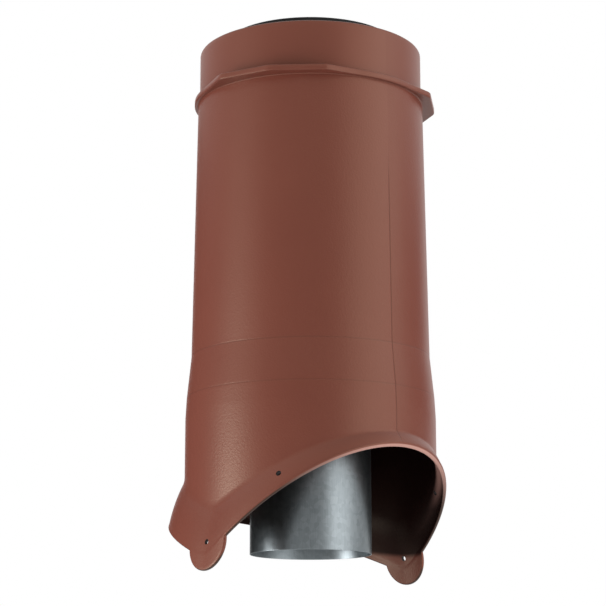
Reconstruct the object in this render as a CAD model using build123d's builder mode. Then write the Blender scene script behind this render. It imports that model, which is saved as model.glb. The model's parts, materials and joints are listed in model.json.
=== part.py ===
from build123d import *
import os
from math import atan, cos, degrees, hypot, radians, sin

os.makedirs("parts", exist_ok=True)

# Insulated roof vent pipe. The origin is on the pipe's axis, level with the lower end of the
# inner duct. +Z is up, +X points up the roof slope and the two screw tabs lie on the Y axis.

# Inner duct, rolled from galvanised sheet
duct_radius = 55.0
duct_wall = 0.7
duct_above_rim = 6.0
dimple_radius = 5.0
dimple_height = 0.6
dimple_rise = 10.0

# Outer shell, moulded in plastic
shell_wall = 2.4
neck_radius = 104.3
neck_height = 45.5
rim_rounding = 1.3
ledge_top = 425.0
ledge_thickness = 5.5
body_top_radius = 105.7
body_foot_radius = 109.4
body_foot_level = 179.0
shoulder_radius = 113.3
shoulder_level = 141.0
skirt_radius = 114.3
skirt_level = 122.0

# Ledge that carries the rain cap: a round plate with a wide grip ear on each side
ledge_radius = 110.5
ear_near_angle = 33.0
ear_near_radius = 118.0
ear_middle_angle = 54.0
ear_middle_radius = 120.5
ear_far_angle = 83.0
ear_far_radius = 121.5
ear_near_blend = 17.0
ear_far_blend = 29.0
ear_rounding = 3.0
ledge_edge_rounding = 0.8

# Flared hem, cut to a steep slope above the axis and a shallow one below it
hem_level = -9.0
hem_half_width = 124.4
hem_reach_up = 121.6
hem_reach_down = 134.0
hem_slope_up = 0.79
hem_slope_down = 0.39
flare_level = 48.0
flare_slope_up = 0.61
flare_slope_down = 0.44
flare_blend = 0.45
flare_straightening = 0.2
flare_steps = [0.0, 0.15, 0.3, 0.45, 0.8, 0.9, 1.0]

# Screw tabs and screw holes
tab_radius = 25.0
tab_level = 4.0
screw_radius = 2.4
seam_angle = 90.0
flank_angle = 56.0
flank_share = 0.647

# Foam sleeve and the black cover that closes its top
fit_gap = 0.3
sleeve_foot = 150.0
cover_recess = 5.7
cover_plate = 2.5
cover_collar_radius = 82.0
cover_collar_wall = 2.5
cover_collar_rise = 12.0
cover_edge_rounding = 0.8

rim_level = ledge_top + neck_height
ledge_foot = ledge_top - ledge_thickness
duct_top = rim_level + duct_above_rim
collar_top = rim_level + cover_collar_rise
cover_plate_top = rim_level - cover_recess
cover_plate_foot = cover_plate_top - cover_plate
sleeve_top = cover_plate_foot - fit_gap
tab_foot = tab_level - tab_radius
tab_share = (flare_level - tab_level) / (flare_level - hem_level)
far_out = 400.0


def polar_point(radius, angle):
    """Point of the plan at a radius and at an angle from the up-slope direction."""
    return (radius * cos(radians(angle)), radius * sin(radians(angle)))


def flare_growth(share):
    """Share of the flare's full width that is reached at a share of its depth."""
    whole = 1.0 - (flare_blend + flare_straightening) / 2.0
    rest = 1.0 - share
    if share < flare_blend:
        return share * share / (2.0 * flare_blend) / whole
    if rest < flare_straightening:
        return 1.0 - rest * rest / (2.0 * flare_straightening) / whole
    return (share - flare_blend / 2.0) / whole


def slope_plane(level, slope):
    """Plane across the axis at a level, rising by a slope towards +X."""
    tilt = degrees(atan(slope))
    return Plane(origin=(0, 0, level), x_dir=(cos(radians(tilt)), 0, sin(radians(tilt))),
                 z_dir=(-sin(radians(tilt)), 0, cos(radians(tilt))))


def flare_section(share, inset, reach, hem_slope, flare_slope):
    """Level, slope and both half widths of the flare's section at a share of its depth."""
    root = skirt_radius - inset
    growth = flare_growth(share)
    level = flare_level + (hem_level - flare_level) * share
    slope = flare_slope + (hem_slope - flare_slope) * share
    along = root + (reach - inset - root) * growth
    across = root + (hem_half_width - inset - root) * growth
    return level, slope, along, across


def flare_point(angle, share):
    """Point on the outside of the flare's up-slope half."""
    level, slope, along, across = flare_section(share, 0.0, hem_reach_up, hem_slope_up, flare_slope_up)
    x, y = along * cos(radians(angle)), across * sin(radians(angle))
    return Vector(x, y, level + slope * x)


def screw_plane(angle, share, side):
    """Plane on the outside of the flare and square to it, where a screw goes in. On the seam
    between the flare's halves, where the wall folds, it only follows the wall's lean."""
    point = flare_point(angle, share)
    down = flare_point(angle, share + 0.01) - point
    around = flare_point(angle + 0.01, share) - flare_point(angle - 0.01, share)
    outward = down.cross(around).normalized()
    if angle == seam_angle:
        outward = Vector(0, outward.Y, outward.Z).normalized()
    return Plane(origin=(point.X, side * point.Y, point.Z), z_dir=(outward.X, side * outward.Y, outward.Z))


def flare_half(inset, reach, hem_slope, flare_slope, side):
    """One half of the flare, lofted through ellipses that tilt with the roof slope."""
    with BuildPart() as half:
        for share in flare_steps:
            level, slope, along, across = flare_section(share, inset, reach, hem_slope, flare_slope)
            with BuildSketch(slope_plane(level, slope)):
                Ellipse(along / cos(atan(slope)), across)
        loft(ruled=True)
        split(bisect_by=Plane.YZ, keep=side)
    return half.part


def body_outline(inset, foot):
    """Half section of the shell's body and neck, down to a level, set in by a wall."""
    with BuildSketch(Plane.XZ) as outline:
        with BuildLine():
            Polyline(
                (0, foot),
                (skirt_radius - inset, foot),
                (skirt_radius - inset, skirt_level),
                (shoulder_radius - inset, shoulder_level),
                (body_foot_radius - inset, body_foot_level),
                (body_top_radius - inset, ledge_foot),
                (neck_radius - inset, ledge_top),
                (neck_radius - inset, rim_level),
                (0, rim_level),
                close=True,
            )
        make_face()
    return outline.sketch


def shell_body(inset):
    """Solid of the shell down to its flared hem, set in by a wall."""
    with BuildPart() as solid:
        with BuildSketch(Plane.XZ):
            add(body_outline(inset, tab_foot))
        revolve(axis=Axis.Z)
        with BuildSketch(Plane.XZ):
            with BuildLine():
                Polyline(
                    (0, flare_level),
                    (far_out, flare_level + flare_slope_up * far_out),
                    (far_out, -far_out),
                    (-far_out, -far_out),
                    (-far_out, flare_level + flare_slope_down * far_out),
                    close=True,
                )
            make_face()
        extrude(amount=far_out, both=True, mode=Mode.SUBTRACT)
        add(flare_half(inset, hem_reach_up, hem_slope_up, flare_slope_up, Keep.TOP))
        add(flare_half(inset, hem_reach_down, -hem_slope_down, -flare_slope_down, Keep.BOTTOM))
    return solid.part


def tab_half(reach, slope, side):
    """One half of both tabs: the hem's wall carried straight down, round about its screw hole."""
    with BuildPart() as half:
        with BuildSketch(Plane.XY.offset(tab_foot)):
            Ellipse(reach, hem_half_width)
            Ellipse(reach - shell_wall, hem_half_width - shell_wall, mode=Mode.SUBTRACT)
        extrude(amount=2 * tab_radius)
        with BuildSketch(Plane.XZ):
            with Locations((0, tab_level)):
                Circle(tab_radius)
        extrude(amount=far_out, both=True, mode=Mode.INTERSECT)
        split(bisect_by=slope_plane(hem_level, slope), keep=Keep.BOTTOM)
        split(bisect_by=Plane.YZ, keep=side)
    return half.part


# Plan of the ledge: a disc with two ears, each drawn to the axis and blended into the disc
with BuildSketch(Plane.XY.offset(ledge_foot)) as ledge_plan:
    Circle(ledge_radius)
    for side in (1, -1):
        with BuildLine():
            Polyline(
                (0, 0),
                polar_point(ledge_radius, side * (ear_near_angle - ear_near_blend)),
                polar_point(ear_near_radius, side * ear_near_angle),
                polar_point(ear_middle_radius, side * ear_middle_angle),
                polar_point(ear_far_radius, side * ear_far_angle),
                polar_point(ledge_radius, side * (ear_far_angle + ear_far_blend)),
                close=True,
            )
        make_face()
    ear_corners = ledge_plan.vertices().filter_by(
        lambda corner: hypot(corner.X, corner.Y) > ledge_radius + ledge_edge_rounding)
    fillet(ear_corners, radius=ear_rounding)

with BuildPart() as ledge:
    with BuildSketch(Plane.XY.offset(ledge_foot)):
        add(ledge_plan.sketch)
    extrude(amount=ledge_thickness)
    fillet(ledge.faces().filter_by(Axis.Z).edges(), radius=ledge_edge_rounding)

with BuildPart() as outer_shell:
    add(shell_body(0.0))
    add(ledge.part)
    add(shell_body(shell_wall), mode=Mode.SUBTRACT)
    add(tab_half(hem_reach_up, hem_slope_up, Keep.TOP))
    add(tab_half(hem_reach_down, -hem_slope_down, Keep.BOTTOM))
    for side in (1, -1):
        for angle, share in ((seam_angle, tab_share), (flank_angle, flank_share)):
            with BuildSketch(screw_plane(angle, share, side)):
                Circle(screw_radius)
            extrude(amount=3 * shell_wall, both=True, mode=Mode.SUBTRACT)
    fillet(outer_shell.edges().filter_by(Plane.XY).group_by(Axis.Z)[-1].sort_by(SortBy.LENGTH)[-1],
           radius=rim_rounding)
outer_shell.part.label = "outer_shell"
export_step(outer_shell.part, "parts/outer_shell.step")

# Spheres whose caps stand out of the duct as two pressed dimples
dimple_sphere = (dimple_radius * dimple_radius + dimple_height * dimple_height) / (2.0 * dimple_height)
dimple_seat = duct_radius + dimple_height - dimple_sphere

with BuildPart() as inner_pipe:
    with BuildSketch():
        Circle(duct_radius)
    extrude(amount=duct_top)
    with Locations((0, dimple_seat, dimple_rise), (0, -dimple_seat, dimple_rise)):
        Sphere(dimple_sphere)
    with BuildSketch(Plane.XY.offset(-dimple_sphere)):
        Circle(duct_radius + dimple_sphere)
    extrude(amount=dimple_sphere, mode=Mode.SUBTRACT)
    with BuildSketch():
        Circle(duct_radius - duct_wall)
    extrude(amount=duct_top, mode=Mode.SUBTRACT)
    with Locations((0, dimple_seat, dimple_rise), (0, -dimple_seat, dimple_rise)):
        Sphere(dimple_sphere - duct_wall, mode=Mode.SUBTRACT)
inner_pipe.part.label = "inner_pipe"
export_step(inner_pipe.part, "parts/inner_pipe.step")

sleeve_bore = duct_radius + fit_gap
with BuildPart() as insulation_sleeve:
    with BuildSketch(Plane.XZ):
        add(body_outline(shell_wall + fit_gap, tab_foot))
        with Locations((0, sleeve_foot)):
            Rectangle(far_out, far_out, align=(Align.CENTER, Align.MAX), mode=Mode.SUBTRACT)
        with Locations((0, sleeve_top)):
            Rectangle(far_out, far_out, align=(Align.CENTER, Align.MIN), mode=Mode.SUBTRACT)
        Rectangle(2 * sleeve_bore, 4 * far_out, mode=Mode.SUBTRACT)
    revolve(axis=Axis.Z)
insulation_sleeve.part.label = "insulation_sleeve"
export_step(insulation_sleeve.part, "parts/insulation_sleeve.step")

cover_outer = neck_radius - shell_wall - fit_gap
with BuildPart() as top_cover:
    with BuildSketch(Plane.XZ):
        with BuildLine():
            Polyline(
                (sleeve_bore, cover_plate_foot),
                (cover_outer, cover_plate_foot),
                (cover_outer, cover_plate_top),
                (cover_collar_radius, cover_plate_top),
                (cover_collar_radius, collar_top),
                (cover_collar_radius - cover_collar_wall, collar_top),
                (cover_collar_radius - cover_collar_wall, cover_plate_top),
                (sleeve_bore, cover_plate_top),
                close=True,
            )
        make_face()
    revolve(axis=Axis.Z)
    fillet(top_cover.edges().group_by(Axis.Z)[-1], radius=cover_edge_rounding)
top_cover.part.label = "top_cover"
export_step(top_cover.part, "parts/top_cover.step")
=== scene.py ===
import json
from math import acos, atan2, cos, degrees, hypot, pi, radians, sin, sqrt

import bmesh
import bpy
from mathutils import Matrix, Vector


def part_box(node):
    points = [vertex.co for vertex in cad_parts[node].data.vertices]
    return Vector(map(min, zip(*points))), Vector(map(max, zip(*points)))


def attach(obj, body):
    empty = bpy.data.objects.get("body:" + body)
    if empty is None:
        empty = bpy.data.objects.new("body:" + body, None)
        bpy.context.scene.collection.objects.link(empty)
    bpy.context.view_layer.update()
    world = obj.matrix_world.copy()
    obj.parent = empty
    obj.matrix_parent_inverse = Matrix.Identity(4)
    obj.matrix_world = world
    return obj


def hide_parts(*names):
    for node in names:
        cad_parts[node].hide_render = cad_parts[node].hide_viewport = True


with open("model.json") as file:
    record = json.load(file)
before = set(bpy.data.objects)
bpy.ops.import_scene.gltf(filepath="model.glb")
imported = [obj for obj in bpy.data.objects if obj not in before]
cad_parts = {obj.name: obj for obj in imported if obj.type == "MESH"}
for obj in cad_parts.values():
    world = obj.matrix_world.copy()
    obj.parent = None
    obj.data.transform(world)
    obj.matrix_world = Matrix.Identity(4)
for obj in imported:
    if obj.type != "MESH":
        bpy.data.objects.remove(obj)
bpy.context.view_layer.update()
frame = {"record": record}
scene = bpy.context.scene

# Outer shell
# One thick moulding in brick-brown polypropylene: a plain neck, a ledge with two grip ears that
# carries the rain cap, a long drafted body, and a skirt that flares to a hem cut to the roof slope.
# Two round tabs hang from the hem, and four screws hold the skirt to the roof collar.
shell_low, shell_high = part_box("outer_shell")
wall = 0.0024
neck_radius = 0.1043
rim_level = shell_high.z
rim_rounding = 0.0020
rim_inner_rounding, rim_inner_corner = 0.0003, 0.0001
ledge_top = 0.425
ledge_foot = 0.4195
ledge_radius = 0.1092
ledge_twist = 3.0
ledge_rounding = 0.0008
ledge_fillet, ledge_fillet_reach = 0.0006, 0.0025
ledge_root_fillet, ledge_inner_row, body_first_row = 0.0007, 0.0022, 0.003
ear_corners = [(16.0, ledge_radius), (33.0, 0.1167), (58.0, 0.1195), (83.0, 0.1203), (112.0, ledge_radius)]
ear_corner_blend = 1.4
body_top_radius = 0.1057
body_foot_radius, body_foot_level = 0.1094, 0.179
shoulder_radius, shoulder_level = 0.1133, 0.141
skirt_radius, skirt_level = 0.1143, 0.122
crease_softness, skirt_tail = 0.004, 0.002

hem_level = -0.012
hem_half_width = shell_high.y
hem_reach_up, hem_reach_down = shell_high.x, -shell_low.x
hem_slope_up, hem_slope_down = 0.815, 0.40
flare_level = 0.037
flare_slope_up, flare_slope_down = 0.56, 0.44
flare_blend, flare_blend_inside, flare_easing = 0.2, 0.6, 0.45
fold_softness = 0.006
tab_radius, tab_lean = 0.0243, 0.13
tab_level = shell_low.z + tab_radius
lip_wall, lip_rounding, lip_start = 0.0034, 0.0015, 0.88

columns_up, columns_down, columns_tab = 172, 172, 30
flare_rows, tab_rows, lip_rows = 36, 8, 6
flare_end = 0.92
neck_rows, body_rows = (0.465, 0.450, 0.435), 10
merge_distance = 1e-6


def flare_growth(share, blend):
    """Share of the flare's width that is reached at a share of its depth: a bend at the root,
    then a wall that stands steeper towards the hem."""
    bent = share * share / (2.0 * blend) if share < blend else share - blend / 2.0
    reached = bent / (1.0 - blend / 2.0)
    return reached * (1.0 + flare_easing * (1.0 - reached))


def flare_wall(share):
    """Thickness of the flare's wall, which grows to a bead along the hem."""
    grown = max(0.0, (share - lip_start) / (1.0 - lip_start))
    return wall + (lip_wall - wall) * grown * grown * (3.0 - 2.0 * grown)


def half_widths(share, inset, up):
    """Half widths of the skirt along and across the slope, set in from the outside."""
    root = skirt_radius - inset
    reach = (hem_reach_up if up else hem_reach_down) - inset
    growth = flare_growth(share, flare_blend_inside if inset else flare_blend)
    return root + (reach - root) * growth, root + (hem_half_width - inset - root) * growth


def folded_rise(x, share):
    """Rise of the flare's sections over the axis: two slopes that meet in a soft fold."""
    slope_up = flare_slope_up + (hem_slope_up - flare_slope_up) * share
    slope_down = flare_slope_down + (hem_slope_down - flare_slope_down) * share
    soft = sqrt(x * x + fold_softness * fold_softness)
    return slope_up * (soft + x) / 2.0 + slope_down * (soft - x) / 2.0


def flare_point(turn, share, inset=0.0):
    """Point of the flare at a turn round the axis and at a share of its depth."""
    along, across = half_widths(share, inset, cos(turn) > 0)
    x, y = along * cos(turn), across * sin(turn)
    level = flare_level + (hem_level - flare_level) * share
    return Vector((x, y, level + folded_rise(x, share)))


def hem_rise(x, retreat):
    """Level of the hem over the axis, with its edge drawn back."""
    slope = hem_slope_up if x > 0 else hem_slope_down
    return hem_level + folded_rise(x, 1.0) + retreat * hypot(1.0, slope)


def tab_corner(up, retreat):
    """Distance from the tab's middle to the corner where its round meets the hem."""
    slope = hem_slope_up if up else hem_slope_down
    rise = hem_level + retreat * hypot(1.0, slope) - tab_level
    reach = tab_radius - retreat
    root = sqrt(slope * slope * rise * rise - (1 + slope * slope) * (rise * rise - reach * reach))
    return (root - slope * rise) / (1 + slope * slope)


def skirt_columns(retreat):
    """Turn of each column at the hem, and for a tab's columns the point on the tab's round."""
    corner_up, corner_down = tab_corner(True, retreat), tab_corner(False, retreat)
    turn_up = acos(corner_up / hem_reach_up)
    turn_down = acos(-corner_down / hem_reach_down)
    reach = tab_radius - retreat
    swing_up = atan2(corner_up, tab_level - hem_rise(corner_up, retreat))
    swing_down = -atan2(corner_down, tab_level - hem_rise(-corner_down, retreat))
    tab = []
    for step in range(columns_tab):
        share = step / columns_tab
        x = corner_up - (corner_up + corner_down) * share
        swing = swing_up + (swing_down - swing_up) * share
        turn = acos(x / (hem_reach_up if x > 0 else hem_reach_down))
        tab.append((turn, (reach * sin(swing), tab_level - reach * cos(swing))))
    up = [(-turn_up + 2 * turn_up * step / columns_up, None) for step in range(columns_up)]
    sweep = 2 * (pi - turn_down)
    down = [(turn_down + sweep * step / columns_down, None) for step in range(columns_down)]
    corner = (turn_down, (-corner_down, hem_rise(-corner_down, retreat)))
    left = [(2 * pi - turn, end) for turn, end in reversed(tab[1:] + [corner])]
    return up + [(turn_up, None)] + tab[1:] + down + left


def tab_point(turn, end, share, retreat, inset):
    """Point of a tab between the hem and the tab's round."""
    x = (hem_reach_up if cos(turn) > 0 else hem_reach_down) * cos(turn)
    level = hem_rise(x, retreat)
    if end:
        x, level = x + (end[0] - x) * share, level + (end[1] - level) * share
    side = 1 if sin(turn) > 0 else -1
    along = hem_reach_up if x > 0 else hem_reach_down
    lean = sqrt(max(0.0, 1.0 - (x / along) ** 2))
    across = hem_half_width - inset + tab_lean * (hem_rise(x, retreat) - level)
    inner_x = x * (along - inset) / along
    level += folded_rise(inner_x, 1.0) - folded_rise(x, 1.0)
    return Vector((inner_x, side * across * lean, level))


def ledge_reach(turn):
    """Radius of the ledge at a turn: a disc, with the straight-sided grip ears blended in."""
    angle = abs((degrees(turn) + ledge_twist + 180.0) % 360.0 - 180.0)

    def reach_at(angle):
        for (start, near), (stop, far) in zip(ear_corners, ear_corners[1:]):
            if start <= angle <= stop:
                a, b = radians(start), radians(stop)
                here = radians(angle)
                edge = near * far * sin(b - a)
                return max(ledge_radius, edge / (near * sin(here - a) + far * sin(b - here)))
        return ledge_radius
    blend = [reach_at(abs(angle + ear_corner_blend * step / 4.0)) for step in range(-4, 5)]
    return sum(blend) / len(blend)


def quarter(centre_r, centre_z, radius, start, steps=4):
    """Points of a quarter round in the pipe's half section, from a starting angle clockwise."""
    return [(centre_r + radius * cos(radians(start - 90.0 * step / steps)),
             centre_z + radius * sin(radians(start - 90.0 * step / steps))) for step in range(steps + 1)]


def with_creases(profile, softness):
    """The half section with a row on each side of every bend, so that the bend shades softly."""
    rows = [profile[0]]
    for before, bend, after in zip(profile, profile[1:], profile[2:]):
        for end in (before, after):
            length = hypot(end[0] - bend[0], end[1] - bend[1])
            share = min(0.5, softness / length)
            rows.append((bend[0] + (end[0] - bend[0]) * share, bend[1] + (end[1] - bend[1]) * share))
            if end is before:
                rows.append(bend)
    return rows + [profile[-1]]


def shell_rows():
    """Closed loop of rows round the shell's wall: down the outside, round the lip, up the inside."""
    columns = skirt_columns(lip_rounding)
    turns = [turn for turn, end in columns]

    def ring(radius, level):
        return [Vector((radius * cos(turn), radius * sin(turn), level)) for turn in turns]

    rows = [ring(r, z) for r, z in quarter(neck_radius - rim_rounding, rim_level - rim_rounding,
                                           rim_rounding, 90.0)]
    for level in (*neck_rows, ledge_top + ledge_fillet_reach, ledge_top + ledge_fillet):
        rows.append(ring(neck_radius, level))
    rows.append(ring(neck_radius + ledge_fillet, ledge_top))
    reaches = [ledge_reach(turn) for turn in turns]
    ledge_edge = quarter(-ledge_rounding, ledge_top - ledge_rounding, ledge_rounding, 90.0, 3)
    ledge_edge += quarter(-ledge_rounding, ledge_foot + ledge_rounding, ledge_rounding, 0.0, 3)
    ledge_edge = [(-ledge_inner_row, ledge_top)] + ledge_edge + [(-ledge_inner_row, ledge_foot)]
    for back, level in ledge_edge:
        rows.append([Vector(((reach + back) * cos(turn), (reach + back) * sin(turn), level))
                     for reach, turn in zip(reaches, turns)])
    rows.append(ring(body_top_radius + ledge_root_fillet, ledge_foot))
    rows.append(ring(body_top_radius, ledge_foot - ledge_root_fillet))
    body = [(body_top_radius, ledge_foot - body_first_row)]
    for step in range(1, body_rows):
        share = step / body_rows
        body.append((body_top_radius + (body_foot_radius - body_top_radius) * share,
                     ledge_foot + (body_foot_level - ledge_foot) * share))
    rows += [ring(r, z) for r, z in body]
    bends = [body[-1], (body_foot_radius, body_foot_level), (shoulder_radius, shoulder_level),
             (skirt_radius, skirt_level), (skirt_radius, skirt_level - skirt_tail)]
    rows += [ring(r, z) for r, z in with_creases(bends, crease_softness)[1:-2]]
    for step in range(flare_rows):
        share = flare_end * step / (flare_rows - 1)
        rows.append([flare_point(turn, share) for turn in turns])
    for step in range(tab_rows + 1):
        rows.append([tab_point(turn, end, step / tab_rows, lip_rounding, 0.0)
                     for turn, end in columns])
    for depth_start, start in ((lip_rounding, 180.0), (lip_wall - lip_rounding, 90.0)):
        for step in range(1 if start == 180.0 else 0, lip_rows + 1):
            angle = radians(start - 90.0 * step / lip_rows)
            depth = depth_start + lip_rounding * cos(angle)
            retreat = lip_rounding * (1.0 - sin(angle))
            rows.append([tab_point(turn, end, 1.0, retreat, depth)
                         for turn, end in skirt_columns(retreat)])
    for step in range(1, tab_rows + 1):
        rows.append([tab_point(turn, end, 1.0 - step / tab_rows, lip_rounding, lip_wall)
                     for turn, end in columns])
    for step in reversed(range(flare_rows)):
        share = flare_end * step / (flare_rows - 1)
        rows.append([flare_point(turn, share, flare_wall(share)) for turn in turns])
    inside = [(skirt_radius - wall, skirt_level), (shoulder_radius - wall, shoulder_level),
              (body_foot_radius - wall, body_foot_level), (body_top_radius - wall, ledge_foot),
              (neck_radius - wall, ledge_top), (neck_radius - wall, rim_level - rim_inner_rounding),
              (neck_radius - wall + rim_inner_corner, rim_level - rim_inner_corner),
              (neck_radius - wall + rim_inner_rounding, rim_level)]
    rows += [ring(r, z) for r, z in inside]
    return rows


def closed_mesh(name, rows):
    """Mesh of a wall whose rows and columns both close on themselves."""
    count, width = len(rows), len(rows[0])
    faces = [(row * width + column,
              row * width + (column + 1) % width,
              (row + 1) % count * width + (column + 1) % width,
              (row + 1) % count * width + column)
             for row in range(count) for column in range(width)]
    mesh = bpy.data.meshes.new(name)
    mesh.from_pydata([tuple(point) for row in rows for point in row], [], faces)
    return mesh


def add_piece(name, mesh):
    """Object of a mesh, at the origin of the pipe's frame."""
    piece = bpy.data.objects.new(name, mesh)
    scene.collection.objects.link(piece)
    return piece


def finish_piece(piece, cad_node):
    """Makes a finished piece move with the pipe's root, and hides the CAD part of the given name."""
    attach(piece, "root")
    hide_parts(cad_node)


def add_node(tree, kind, links=(), **inputs):
    """One node with its settings, its input values and its links, each from an output socket."""
    made = tree.nodes.new(kind)
    for name, value in inputs.items():
        if name.startswith("set_"):
            setattr(made, name[4:], value)
    for name, value in inputs.items():
        if not name.startswith("set_"):
            made.inputs[name.replace("_", " ")].default_value = value
    for socket, source in dict(links).items():
        tree.links.new(source, made.inputs[socket])
    return made


def feed(tree, socket, value):
    """Links an input socket to an output socket, or sets it to a plain value."""
    if isinstance(value, bpy.types.NodeSocket):
        tree.links.new(value, socket)
    else:
        socket.default_value = value


def calculated(tree, operation, *values):
    """Output of a math node that works on output sockets and numbers."""
    made = add_node(tree, "ShaderNodeMath", set_operation=operation)
    for socket, value in zip(made.inputs, values):
        feed(tree, socket, value)
    return made.outputs[0]


def ranged(tree, value, start, stop, low=0.0, high=1.0, soft=False):
    """Output that goes from low to high while a value goes from start to stop."""
    curve = "SMOOTHSTEP" if soft else "LINEAR"
    made = add_node(tree, "ShaderNodeMapRange", set_interpolation_type=curve, links={"Value": value},
                    From_Min=start, From_Max=stop, To_Min=low, To_Max=high)
    return made.outputs["Result"]


def mixed(tree, share, first, second):
    """Colour between two others, each given as a colour or as an output socket."""
    made = add_node(tree, "ShaderNodeMix", set_data_type="RGBA", links={0: share})
    feed(tree, made.inputs[6], first)
    feed(tree, made.inputs[7], second)
    return made.outputs[2]


def linear(hex_colour):
    """Linear colour of an sRGB hex value."""
    values = [int(hex_colour[i:i + 2], 16) / 255 for i in (1, 3, 5)]
    return [v / 12.92 if v <= 0.04045 else ((v + 0.055) / 1.055) ** 2.4 for v in values] + [1.0]


def start_material(name):
    """Empty node material with its surface shader, and the tree that holds it."""
    material = bpy.data.materials.new(name)
    material.use_nodes = True
    tree = material.node_tree
    shader = tree.nodes["Principled BSDF"]
    return material, tree, shader


def merge_and_turn_out(mesh):
    """Merges doubled points, drops faces with no area and turns all faces outwards."""
    work = bmesh.new()
    work.from_mesh(mesh)
    bmesh.ops.remove_doubles(work, verts=work.verts, dist=merge_distance)
    bmesh.ops.dissolve_degenerate(work, edges=work.edges, dist=merge_distance)
    bmesh.ops.recalc_face_normals(work, faces=work.faces)
    if work.calc_volume(signed=True) < 0.0:
        bmesh.ops.reverse_faces(work, faces=work.faces)
    for face in work.faces:
        face.smooth = True
    work.to_mesh(mesh)
    work.free()
    return mesh


# Moulded polypropylene, coloured right through: satin, with a fine grain on the body from a
# spark-eroded mould and a smoother neck. The mould's parting line runs down the two sides that face
# up and down the slope; the half beyond it is painted slightly darker, as painted shade where the
# highlight stops. Faint dark rings are painted shade where the body's taper changes and under the
# ledge. The inner face is dull, and painted nearly black as shade, a little less on the tabs. The
# hem's edge is painted pale as a highlight round the high arch and painted dark as shade below it.
shell_brown = linear("#7f4538")
shell_brown_dark = linear("#7a4135")
# Painted shade: the half beyond the parting line is a little darker, where the highlight stops at a slight
# bend.
shell_brown_painted_shade_half = linear("#773c30")
# Colour of the real parting line, and of painted shade in the rings at the body's bends and under the
# ledge.
shell_line_and_painted_shade_brown = linear("#4a251d")
# Painted shade: the inner face, which lies in shadow, is painted nearly black.
shell_inside_painted_shade = linear("#1c0e0c")
# Painted highlight and painted shade for the hem's edge: pale round the high arch, dark lower down.
shell_edge_painted_highlight = linear("#c8968a")
shell_edge_painted_shade = linear("#3a2420")
inside_start, inside_full, inside_slope = 0.002, 0.008, 0.13
inside_least = 0.45
inward_start, inward_full = -0.05, -0.07
edge_facing_start, edge_facing_full = -0.3, -0.5
edge_painted_shade_level, edge_painted_highlight_level = 0.045, 0.085
shell_roughness, inside_roughness = 0.38, 0.36
shell_specular, inside_specular = 0.5, 0.05
shell_gloss_tint = (1.0, 0.85, 0.64, 1.0)
plastic_ior = 1.49
mottle_scale = 18.0
grain_size, grain_height = 0.0016, 0.0002
grain_on_body, grain_on_neck = 0.8, 0.12
parting_turn = radians(-2.0)
parting_width = 0.0007
parting_foot, parting_foot_fade = 0.095, 0.01
parting_top, parting_top_fade = 0.37, 0.06
half_seam, half_difference = 0.001, 0.45
line_and_painted_shade_darkness, line_strength, line_depth = 0.55, 0.6, 0.0004
# Painted shade: dark rings at the two bends of the body's taper and along the foot of the ledge.
painted_shade_rings = [(body_foot_level, 0.0011, 0.45), (shoulder_level, 0.0011, 0.35), (ledge_foot, 0.0014, 0.7)]

shell_plastic, tree, shader = start_material("moulded_polypropylene_brown")
place = add_node(tree, "ShaderNodeTexCoord").outputs["Object"]
parts = add_node(tree, "ShaderNodeSeparateXYZ", links={"Vector": place}).outputs
along, level = parts["X"], parts["Z"]
mottle = add_node(tree, "ShaderNodeTexNoise", links={"Vector": place}, Scale=mottle_scale, Detail=3.0)
colour = mixed(tree, mottle.outputs["Fac"], shell_brown, shell_brown_dark)

turned = add_node(tree, "ShaderNodeMapping", links={"Vector": place}, Rotation=(0.0, 0.0, -parting_turn))
aside = add_node(tree, "ShaderNodeSeparateXYZ", links={"Vector": turned.outputs["Vector"]}).outputs["Y"]
# Painted shade: darkens the half of the shell beyond the parting line.
painted_shade_half = ranged(tree, aside, 0.0, half_seam, 0.0, half_difference)
colour = mixed(tree, painted_shade_half, colour, shell_brown_painted_shade_half)
line = ranged(tree, calculated(tree, "ABSOLUTE", aside), 0.0, parting_width, 1.0, 0.0, soft=True)
line_foot = ranged(tree, level, parting_foot - parting_foot_fade, parting_foot, soft=True)
line_top = ranged(tree, level, parting_top - parting_top_fade, parting_top, 1.0, 0.0, soft=True)
line = calculated(tree, "MULTIPLY", calculated(tree, "MULTIPLY", line, line_foot), line_top)
# The rings joined to the parting line here are painted shade.
for ring_level, ring_width, ring_strength in painted_shade_rings:
    away = calculated(tree, "ABSOLUTE", calculated(tree, "SUBTRACT", level, ring_level))
    ring = ranged(tree, away, 0.0, ring_width, ring_strength, 0.0, soft=True)
    line = calculated(tree, "MAXIMUM", line, ring)
# Darkens the parting line, and paints shade along the rings.
colour = mixed(tree, calculated(tree, "MULTIPLY", line, line_and_painted_shade_darkness), colour, shell_line_and_painted_shade_brown)

flat = add_node(tree, "ShaderNodeMapping", links={"Vector": place}, Scale=(1.0, 1.0, 0.0))
normal = add_node(tree, "ShaderNodeNewGeometry").outputs["Normal"]
facing = add_node(tree, "ShaderNodeVectorMath", set_operation="DOT_PRODUCT",
                  links={0: normal, 1: flat.outputs["Vector"]}).outputs["Value"]
# Painted shade: the inward-facing wall is darkened above a level just over the hem, less on the tabs.
inward = ranged(tree, facing, inward_start, inward_full)
rise = calculated(tree, "MAXIMUM", calculated(tree, "MULTIPLY", along, -inside_slope), 0.0)
over_hem = calculated(tree, "SUBTRACT", level, rise)
above = ranged(tree, over_hem, inside_start, inside_full, inside_least, 1.0, soft=True)
inner_painted_shade = calculated(tree, "MULTIPLY", inward, above)
colour = mixed(tree, inner_painted_shade, colour, shell_inside_painted_shade)

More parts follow.
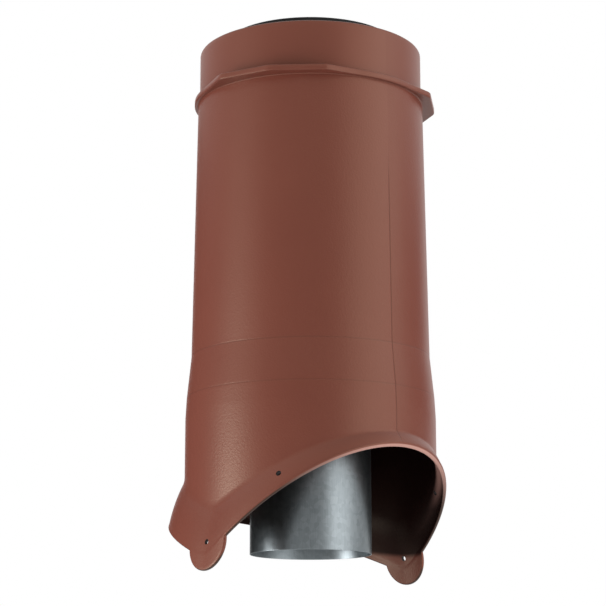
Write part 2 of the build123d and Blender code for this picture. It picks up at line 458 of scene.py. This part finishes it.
# Painted highlight and shade: the downward-facing hem edge is pale high on the arch and dark below it.
downward = add_node(tree, "ShaderNodeSeparateXYZ", links={"Vector": normal}).outputs["Z"]
facing_down = ranged(tree, downward, edge_facing_start, edge_facing_full, soft=True)
below_ledge = ranged(tree, level, shoulder_level, body_foot_level, 1.0, 0.0)
hem_edge = calculated(tree, "MULTIPLY", facing_down, below_ledge)
in_light = ranged(tree, level, edge_painted_shade_level, edge_painted_highlight_level)
edge_painted_light = mixed(tree, in_light, shell_edge_painted_shade, shell_edge_painted_highlight)
tree.links.new(mixed(tree, hem_edge, colour, edge_painted_light), shader.inputs["Base Color"])

grain = add_node(tree, "ShaderNodeTexNoise", links={"Vector": place}, Scale=1.0 / grain_size, Detail=2.0)
grain_strength = ranged(tree, level, ledge_foot, ledge_top, grain_on_body, grain_on_neck)
bump = add_node(tree, "ShaderNodeBump", Distance=grain_height,
                links={"Height": grain.outputs["Fac"], "Strength": grain_strength})
groove = add_node(tree, "ShaderNodeBump", set_invert=True, Strength=line_strength, Distance=line_depth,
                  links={"Height": line, "Normal": bump.outputs["Normal"]})
tree.links.new(groove.outputs["Normal"], shader.inputs["Normal"])
gloss = ranged(tree, inner_painted_shade, 0.0, 1.0, shell_roughness, inside_roughness)
tree.links.new(gloss, shader.inputs["Roughness"])
shine = ranged(tree, inner_painted_shade, 0.0, 1.0, shell_specular, inside_specular)
tree.links.new(shine, shader.inputs["Specular IOR Level"])
shader.inputs["IOR"].default_value = plastic_ior
shader.inputs["Specular Tint"].default_value = shell_gloss_tint

shell = add_piece("shell_moulding", merge_and_turn_out(closed_mesh("shell_moulding", shell_rows())))
shell.data.materials.append(shell_plastic)

# Screw holes
# Four clear holes for 4.8 mm roofing screws: one in each tab and one in each flank of the high arch.
# They are drilled square to the wall, so each is cut with a straight round bit. Their walls are
# painted dark as shade.
screw_sides = 32
drill_depth = 0.012
screw_radius = 0.0024
hole_crease = radians(40.0)
hole_roughness = 0.6


def add_socket(tree, name, kind, value=None):
    """Named input of a geometry tree, with its starting value."""
    socket = tree.interface.new_socket(name=name, in_out="INPUT", socket_type=kind)
    if value is not None:
        socket.default_value = value
    return socket


def drilling_tree():
    """Geometry tree that sets a round bit on each point, along the point's own direction."""
    tree = bpy.data.node_groups.new("drill_bits", "GeometryNodeTree")
    add_socket(tree, "Screws", "NodeSocketGeometry")
    add_socket(tree, "Hole Radius", "NodeSocketFloat", screw_radius)
    add_socket(tree, "Depth", "NodeSocketFloat", drill_depth)
    add_socket(tree, "Sides", "NodeSocketInt", screw_sides)
    add_socket(tree, "Finish", "NodeSocketMaterial")
    tree.interface.new_socket(name="Bits", in_out="OUTPUT", socket_type="NodeSocketGeometry")
    given = add_node(tree, "NodeGroupInput").outputs
    bit = add_node(tree, "GeometryNodeMeshCylinder",
                   links={"Vertices": given["Sides"], "Radius": given["Hole Radius"],
                          "Depth": given["Depth"]})
    aim = add_node(tree, "GeometryNodeInputNamedAttribute", set_data_type="FLOAT_VECTOR", Name="aim")
    turn = add_node(tree, "FunctionNodeAlignRotationToVector", set_axis="Z",
                    links={"Vector": aim.outputs["Attribute"]})
    bits = add_node(tree, "GeometryNodeInstanceOnPoints",
                    links={"Points": given["Screws"], "Instance": bit.outputs["Mesh"],
                           "Rotation": turn.outputs["Rotation"]})
    real = add_node(tree, "GeometryNodeRealizeInstances", links={"Geometry": bits.outputs["Instances"]})
    finished = add_node(tree, "GeometryNodeSetMaterial",
                        links={"Geometry": real.outputs["Geometry"], "Material": given["Finish"]})
    add_node(tree, "NodeGroupOutput", links={"Bits": finished.outputs["Geometry"]})
    return tree


def settled(piece, tree, values):
    """Runs a geometry tree on a piece once, keeps the result as its mesh and drops the modifier."""
    modifier = piece.modifiers.new(tree.name, "NODES")
    modifier.node_group = tree
    for socket in tree.interface.items_tree:
        if socket.name in values:
            modifier[socket.identifier] = values[socket.name]
    return applied(piece, modifier)


def applied(piece, modifier):
    """Keeps what a modifier makes as the piece's plain mesh, and drops the modifier."""
    bpy.context.view_layer.update()
    evaluated = piece.evaluated_get(bpy.context.evaluated_depsgraph_get())
    mesh = bpy.data.meshes.new_from_object(evaluated)
    piece.modifiers.remove(modifier)
    piece.data = mesh
    mesh.name = piece.name
    merge_and_turn_out(mesh)
    return piece


screws = [(Vector(mount["pos_m"]), Vector(mount["axis"])) for mount in frame["record"]["mounts"]
          if "screw" in mount["name"]]
bit_points = bpy.data.meshes.new("drill_bits")
bit_points.from_pydata([tuple(point) for point, aim in screws], [], [])
aims = bit_points.attributes.new("aim", "FLOAT_VECTOR", "POINT")
for entry, (point, aim) in zip(aims.data, screws):
    entry.vector = aim
# Painted shade: the hole walls take the inner face's near-black as their colour.
hole_wall_painted_shade, tree, shader = start_material("drilled_polypropylene_painted_shade")
shader.inputs["Base Color"].default_value = shell_inside_painted_shade
shader.inputs["Roughness"].default_value = hole_roughness
shader.inputs["IOR"].default_value = plastic_ior
bits = settled(add_piece("drill_bits", bit_points), drilling_tree(), {"Finish": hole_wall_painted_shade})
drill = shell.modifiers.new("drill", "BOOLEAN")
drill.operation = "DIFFERENCE"
drill.solver = "EXACT"
drill.material_mode = "TRANSFER"
drill.object = bits
applied(shell, drill)
shell.data.set_sharp_from_angle(angle=hole_crease)
bpy.data.objects.remove(bits)
finish_piece(shell, "outer_shell")

# Inner duct
# A tube rolled from 0.7 mm hot-dip galvanised sheet and locked along its length. Two dimples are
# pressed outwards near its lower end, where they stop the house duct's coupling.
duct_low, duct_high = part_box("inner_pipe")
duct_radius, duct_wall = 0.055, 0.0007
duct_edge_rounding = 0.00018
duct_foot, duct_top = duct_low.z, duct_high.z
dimple_radius, dimple_height, dimple_level = 0.0065, 0.00005, 0.010
dimple_rows, dimple_row_height = 26, 0.0007
duct_rows = [0.03, 0.1, 0.2, 0.3, 0.4]
turned_segments = 384


def turning_tree():
    """Geometry tree that turns a closed half section, given as points, round the pipe's axis."""
    tree = bpy.data.node_groups.new("turned_piece", "GeometryNodeTree")
    add_socket(tree, "Half Section", "NodeSocketGeometry")
    add_socket(tree, "Segments", "NodeSocketInt", turned_segments)
    add_socket(tree, "Finish", "NodeSocketMaterial")
    tree.interface.new_socket(name="Piece", in_out="OUTPUT", socket_type="NodeSocketGeometry")
    given = add_node(tree, "NodeGroupInput").outputs
    size = add_node(tree, "GeometryNodeAttributeDomainSize", set_component="MESH",
                    links={"Geometry": given["Half Section"]})
    columns = calculated(tree, "ADD", given["Segments"], 1.0)
    rows = calculated(tree, "ADD", size.outputs["Point Count"], 1.0)
    grid = add_node(tree, "GeometryNodeMeshGrid", links={"Vertices X": columns, "Vertices Y": rows})
    index = add_node(tree, "GeometryNodeInputIndex").outputs["Index"]
    column = calculated(tree, "FLOOR", calculated(tree, "DIVIDE", index, rows))
    row = calculated(tree, "MODULO", calculated(tree, "MODULO", index, rows), size.outputs["Point Count"])
    place = add_node(tree, "GeometryNodeInputPosition").outputs["Position"]
    sample = add_node(tree, "GeometryNodeSampleIndex", set_data_type="FLOAT_VECTOR", set_domain="POINT",
                      links={"Geometry": given["Half Section"], "Value": place, "Index": row})
    turn = calculated(tree, "MULTIPLY", calculated(tree, "DIVIDE", column, given["Segments"]), 2.0 * pi)
    turned = add_node(tree, "ShaderNodeVectorRotate", set_rotation_type="Z_AXIS",
                      links={"Vector": sample.outputs["Value"], "Angle": turn})
    moved = add_node(tree, "GeometryNodeSetPosition",
                     links={"Geometry": grid.outputs["Mesh"], "Position": turned.outputs["Vector"]})
    merged = add_node(tree, "GeometryNodeMergeByDistance", Distance=merge_distance,
                      links={"Geometry": moved.outputs["Geometry"]})
    real = add_node(tree, "GeometryNodeRealizeInstances", links={"Geometry": merged.outputs["Geometry"]})
    finished = add_node(tree, "GeometryNodeSetMaterial",
                        links={"Geometry": real.outputs["Geometry"], "Material": given["Finish"]})
    add_node(tree, "NodeGroupOutput", links={"Piece": finished.outputs["Geometry"]})
    return tree


def turned_piece(name, half_section, finish):
    """Piece turned from a closed half section of (radius, level) points."""
    mesh = bpy.data.meshes.new(name)
    mesh.from_pydata([(radius, 0.0, level) for radius, level in half_section], [], [])
    return settled(add_piece(name, mesh), turning, {"Finish": finish})


def tube_half_section(inner, outer, foot, top, rounding, levels):
    """Half section of a tube with rounded ends and with extra points up its outside."""
    return (quarter(outer - rounding, foot + rounding, rounding, 0.0)
            + quarter(inner + rounding, foot + rounding, rounding, -90.0)
            + quarter(inner + rounding, top - rounding, rounding, 180.0)
            + quarter(outer - rounding, top - rounding, rounding, 90.0)
            + [(outer, level) for level in sorted(levels, reverse=True)])


def press_dimples(mesh):
    """Pushes two round caps outwards, on the two sides of the duct."""
    for vertex in mesh.vertices:
        point = vertex.co
        away = hypot(point.x, point.z - dimple_level)
        if away < dimple_radius:
            push = dimple_height * (1.0 - (away / dimple_radius) ** 2) ** 2
            radius = hypot(point.x, point.y)
            point.x *= (radius + push) / radius
            point.y *= (radius + push) / radius


# Hot-dip zinc on steel sheet: a soft grey mirror, with faint crystals a few millimetres wide that
# differ in brightness, and fine lines along the sheet from its rolling.
zinc_light = linear("#8e9598")
zinc_dark = linear("#787f82")
zinc_roughness_low, zinc_roughness_high = 0.33, 0.37
crystal_size, crystal_share = 0.004, 0.5
rolling_line, rolling_stretch = 0.0004, 0.03
tone_start, tone_full = 0.3, 1.2
zinc_relief_strength, zinc_relief = 0.12, 0.0001

galvanised, tree, shader = start_material("galvanised_steel")
place = add_node(tree, "ShaderNodeTexCoord").outputs["Object"]
crystals = add_node(tree, "ShaderNodeTexVoronoi", links={"Vector": place}, Scale=1.0 / crystal_size)
crystal_tone = add_node(tree, "ShaderNodeSeparateColor", links={"Color": crystals.outputs["Color"]})
stretched = add_node(tree, "ShaderNodeMapping", links={"Vector": place}, Scale=(1.0, 1.0, rolling_stretch))
lines = add_node(tree, "ShaderNodeTexNoise", links={"Vector": stretched.outputs["Vector"]},
                 Scale=1.0 / rolling_line, Detail=2.0)
tone = calculated(tree, "MULTIPLY_ADD", crystal_tone.outputs["Red"], crystal_share, lines.outputs["Fac"])
spread = ranged(tree, tone, tone_start, tone_full)
tree.links.new(mixed(tree, spread, zinc_dark, zinc_light), shader.inputs["Base Color"])
gloss = ranged(tree, tone, tone_start, tone_full, zinc_roughness_low, zinc_roughness_high)
tree.links.new(gloss, shader.inputs["Roughness"])
relief = add_node(tree, "ShaderNodeBump", links={"Height": tone}, Strength=zinc_relief_strength,
                  Distance=zinc_relief)
tree.links.new(relief.outputs["Normal"], shader.inputs["Normal"])
shader.inputs["Metallic"].default_value = 1.0

turning = turning_tree()
dimple_foot = dimple_level - dimple_rows * dimple_row_height / 2.0
duct_levels = [dimple_foot + dimple_row_height * row for row in range(dimple_rows)] + duct_rows
duct_section = tube_half_section(duct_radius - duct_wall, duct_radius, duct_foot, duct_top,
                                 duct_edge_rounding, duct_levels)
duct = turned_piece("duct_tube", duct_section, galvanised)
press_dimples(duct.data)
finish_piece(duct, "inner_pipe")

# Foam sleeve
# A sleeve of dark closed-cell foam that fills the space between the duct and the shell. It is
# slipped over the duct before the shell goes on, and it ends above the flare.
sleeve_low, sleeve_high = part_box("insulation_sleeve")
fit_gap = 0.0003
foam_row_spacing, foam_foot_rows = 0.008, 16


def foam_half_section():
    """Half section of the sleeve: a straight bore, and an outside that follows the shell's inside."""
    inset = wall + fit_gap
    foot, top = sleeve_low.z, sleeve_high.z
    shoulder_share = (foot - shoulder_level) / (body_foot_level - shoulder_level)
    foot_radius = shoulder_radius + (body_foot_radius - shoulder_radius) * shoulder_share - inset
    outside = [(foot_radius, foot), (body_foot_radius - inset, body_foot_level),
               (body_top_radius - inset, ledge_foot), (neck_radius - inset, ledge_top),
               (neck_radius - inset, top)]
    rows = [outside[0]]
    bore = duct_radius + fit_gap
    for before, after in zip(outside, outside[1:]):
        steps = max(1, int(hypot(after[0] - before[0], after[1] - before[1]) / foam_row_spacing))
        rows += [(before[0] + (after[0] - before[0]) * step / steps,
                  before[1] + (after[1] - before[1]) * step / steps) for step in range(1, steps + 1)]
    across = [bore + (foot_radius - bore) * step / foam_foot_rows for step in range(foam_foot_rows + 1)]
    return rows + [(bore, top)] + [(radius, foot) for radius in across[:-1]]


# Polyethylene foam: dull and nearly black, with small pits where its cells are cut open.
foam_black = linear("#141316")
foam_grey = linear("#232225")
foam_pore, foam_pit_strength, foam_pit_depth = 0.0035, 0.6, 0.0006
foam_roughness, foam_ior = 0.92, 1.45

sleeve_foam, tree, shader = start_material("closed_cell_foam_dark")
place = add_node(tree, "ShaderNodeTexCoord").outputs["Object"]
pores = add_node(tree, "ShaderNodeTexVoronoi", links={"Vector": place}, Scale=1.0 / foam_pore)
tree.links.new(mixed(tree, pores.outputs["Distance"], foam_black, foam_grey), shader.inputs["Base Color"])
pits = add_node(tree, "ShaderNodeBump", links={"Height": pores.outputs["Distance"]},
                Strength=foam_pit_strength, Distance=foam_pit_depth)
tree.links.new(pits.outputs["Normal"], shader.inputs["Normal"])
shader.inputs["Roughness"].default_value = foam_roughness
shader.inputs["IOR"].default_value = foam_ior

sleeve = turned_piece("foam_sleeve", foam_half_section(), sleeve_foam)
finish_piece(sleeve, "insulation_sleeve")

# Top cover
# One black polypropylene moulding pressed into the neck: a flat ring that keeps rain out of the
# foam, with a standing collar that centres the rain cap.
cover_low, cover_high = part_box("top_cover")
cover_plate = 0.0025
cover_collar_radius, cover_collar_wall = 0.082, 0.0025
cover_plate_top = cover_low.z + cover_plate
cover_rounding = 0.0008
cover_collar_drop = 0.001
cover_fillet = 0.0012


def cover_half_section():
    """Half section of the cover: a flat ring with its standing collar."""
    outer, bore = cover_high.x, duct_radius + fit_gap
    inner_wall = cover_collar_radius - cover_collar_wall
    soft = cover_rounding
    low, top = cover_low.z, cover_high.z - cover_collar_drop
    return (quarter(outer - soft, low + soft, soft, 0.0)
            + quarter(bore + soft, low + soft, soft, -90.0)
            + quarter(bore + soft, cover_plate_top - soft, soft, 180.0)
            + [(inner_wall - cover_fillet, cover_plate_top), (inner_wall, cover_plate_top + cover_fillet)]
            + quarter(inner_wall + soft, top - soft, soft, 180.0)
            + quarter(cover_collar_radius - soft, top - soft, soft, 90.0)
            + [(cover_collar_radius, cover_plate_top + cover_fillet),
               (cover_collar_radius + cover_fillet, cover_plate_top)]
            + quarter(outer - soft, cover_plate_top - soft, soft, 90.0))


# Black moulded polypropylene: nearly black, with a low sheen from a lightly blasted mould.
cover_black = linear("#0c0a0a")
cover_grey = linear("#121010")
cover_grain, cover_grain_strength, cover_grain_height = 0.0012, 0.2, 0.0002
cover_roughness, cover_specular = 0.6, 0.3

cover_plastic, tree, shader = start_material("moulded_polypropylene_black")
place = add_node(tree, "ShaderNodeTexCoord").outputs["Object"]
grain = add_node(tree, "ShaderNodeTexNoise", links={"Vector": place}, Scale=1.0 / cover_grain, Detail=2.0)
tree.links.new(mixed(tree, grain.outputs["Fac"], cover_black, cover_grey), shader.inputs["Base Color"])
bump = add_node(tree, "ShaderNodeBump", links={"Height": grain.outputs["Fac"]},
                Strength=cover_grain_strength, Distance=cover_grain_height)
tree.links.new(bump.outputs["Normal"], shader.inputs["Normal"])
shader.inputs["Roughness"].default_value = cover_roughness
shader.inputs["IOR"].default_value = plastic_ior
shader.inputs["Specular IOR Level"].default_value = cover_specular

cover = turned_piece("cover_ring", cover_half_section(), cover_plastic)
finish_piece(cover, "top_cover")

# Studio
# The camera stands a little below the hem and looks up at the pipe. The room is plain white. A
# small soft box stands at the left and three larger ones at the right. Two fill lamps that no
# surface mirrors light the sides, and the floor glows a little.
image_size = 606
camera_turn = 43.0
camera_distance = 1.7728
camera_level = -0.15165
camera_tilt = 12.213
camera_yaw = 0.2245
focal_pixels = 1958.6
sensor_width = 36.0

camera_data = bpy.data.cameras.new("camera")
camera_data.sensor_width = sensor_width
camera_data.lens = focal_pixels * sensor_width / image_size
camera = bpy.data.objects.new("camera", camera_data)
scene.collection.objects.link(camera)
turn, yaw, tilt = radians(camera_turn), radians(camera_yaw), radians(camera_tilt)
camera.location = (camera_distance * cos(turn), -camera_distance * sin(turn), camera_level)
right, away = -sin(yaw) * cos(tilt), cos(yaw) * cos(tilt)
view = Vector((right * sin(turn) - away * cos(turn), right * cos(turn) + away * sin(turn), sin(tilt)))
camera.rotation_euler = view.to_track_quat("-Z", "Y").to_euler()
scene.camera = camera
scene.view_settings.view_transform = "Standard"


def soft_box(name, side_turn, distance, level, width, height, power, aim_level=0.2):
    """Soft box at a turn from the camera's direction, aimed at the pipe."""
    data = bpy.data.lights.new(name, "AREA")
    data.shape = "RECTANGLE"
    data.size, data.size_y, data.energy = width, height, power
    lamp = bpy.data.objects.new(name, data)
    scene.collection.objects.link(lamp)
    around = radians(-camera_turn + side_turn)
    lamp.location = (distance * cos(around), distance * sin(around), level)
    aim = Vector((0, 0, aim_level)) - lamp.location
    lamp.rotation_euler = aim.to_track_quat("-Z", "Y").to_euler()
    return lamp


soft_box("left_soft_box", side_turn=-75.0, distance=1.3, level=-0.05, width=0.5, height=0.6, power=10.0)
soft_box("right_soft_box", side_turn=60.0, distance=1.8, level=0.35, width=1.5, height=2.8, power=9.5,
         aim_level=0.35)
soft_box("right_top_box", side_turn=80.0, distance=1.8, level=1.2, width=1.2, height=0.8, power=2.4,
         aim_level=0.4)
soft_box("right_low_box", side_turn=50.0, distance=1.7, level=-0.05, width=1.1, height=0.9, power=2.6)
for name, side_turn, power in (("left_fill", -80.0, 3.0), ("right_fill", 80.0, 8.0)):
    fill = soft_box(name, side_turn, distance=1.8, level=0.1, width=1.0, height=2.0, power=power)
    fill.visible_glossy = False

# Dark flags stand between the soft boxes, where a photographer puts them to keep a satin surface
# from turning pale. Only reflections meet them.
flag_radius, flag_steps = 2.1, 16
flag_sectors = [(-158.0, -80.0, -0.7, 1.1), (-50.0, 30.0, 0.28, 1.0), (98.0, 140.0, 0.35, 0.95)]
flag_material, tree, shader = start_material("dark_felt")
shader.inputs["Base Color"].default_value = linear("#2c2a29")
shader.inputs["Roughness"].default_value = 1.0


def dark_flag(name, start, stop, low, high):
    """Curved panel round the pipe between two turns from the camera's direction."""
    points, faces = [], []
    for step in range(flag_steps + 1):
        around = radians(-camera_turn + start + (stop - start) * step / flag_steps)
        for level in (low, high):
            points.append((flag_radius * cos(around), flag_radius * sin(around), level))
        if step:
            faces.append((2 * step - 2, 2 * step, 2 * step + 1, 2 * step - 1))
    mesh = bpy.data.meshes.new(name)
    mesh.from_pydata(points, [], faces)
    mesh.materials.append(flag_material)
    panel = bpy.data.objects.new(name, mesh)
    scene.collection.objects.link(panel)
    panel.visible_camera = False
    panel.visible_shadow = False
    panel.visible_diffuse = False


for number, sector in enumerate(flag_sectors):
    dark_flag("dark_flag_%d" % number, *sector)

floor_level, floor_half = -0.7, 12.0
floor_white, floor_bounce = linear("#e8e8e8"), linear("#d8d8d8")
floor_glow, floor_roughness = 0.35, 0.9
floor_mesh = bpy.data.meshes.new("floor")
corners = [(x * floor_half, y * floor_half, floor_level) for x, y in ((-1, -1), (1, -1), (1, 1), (-1, 1))]
floor_mesh.from_pydata(corners, [], [(0, 1, 2, 3)])
floor = bpy.data.objects.new("floor", floor_mesh)
scene.collection.objects.link(floor)
floor_material, tree, shader = start_material("pale_floor")
rays = add_node(tree, "ShaderNodeLightPath").outputs
tree.links.new(mixed(tree, rays["Is Diffuse Ray"], floor_white, floor_bounce), shader.inputs["Base Color"])
shader.inputs["Roughness"].default_value = floor_roughness
shader.inputs["Emission Color"].default_value = (1.0, 1.0, 1.0, 1.0)
shader.inputs["Emission Strength"].default_value = floor_glow
floor_mesh.materials.append(floor_material)

room_lighting, room_seen = 0.29, 1.0
world = bpy.data.worlds.new("white_room")
scene.world = world
world.use_nodes = True
tree = world.node_tree
rays = add_node(tree, "ShaderNodeLightPath").outputs
seen = calculated(tree, "MAXIMUM", rays["Is Camera Ray"], rays["Is Glossy Ray"])
seen = calculated(tree, "MAXIMUM", seen, rays["Is Transmission Ray"])
background = tree.nodes["Background"]
background.inputs["Color"].default_value = (1.0, 1.0, 1.0, 1.0)
tree.links.new(ranged(tree, seen, 0.0, 1.0, room_lighting, room_seen), background.inputs["Strength"])
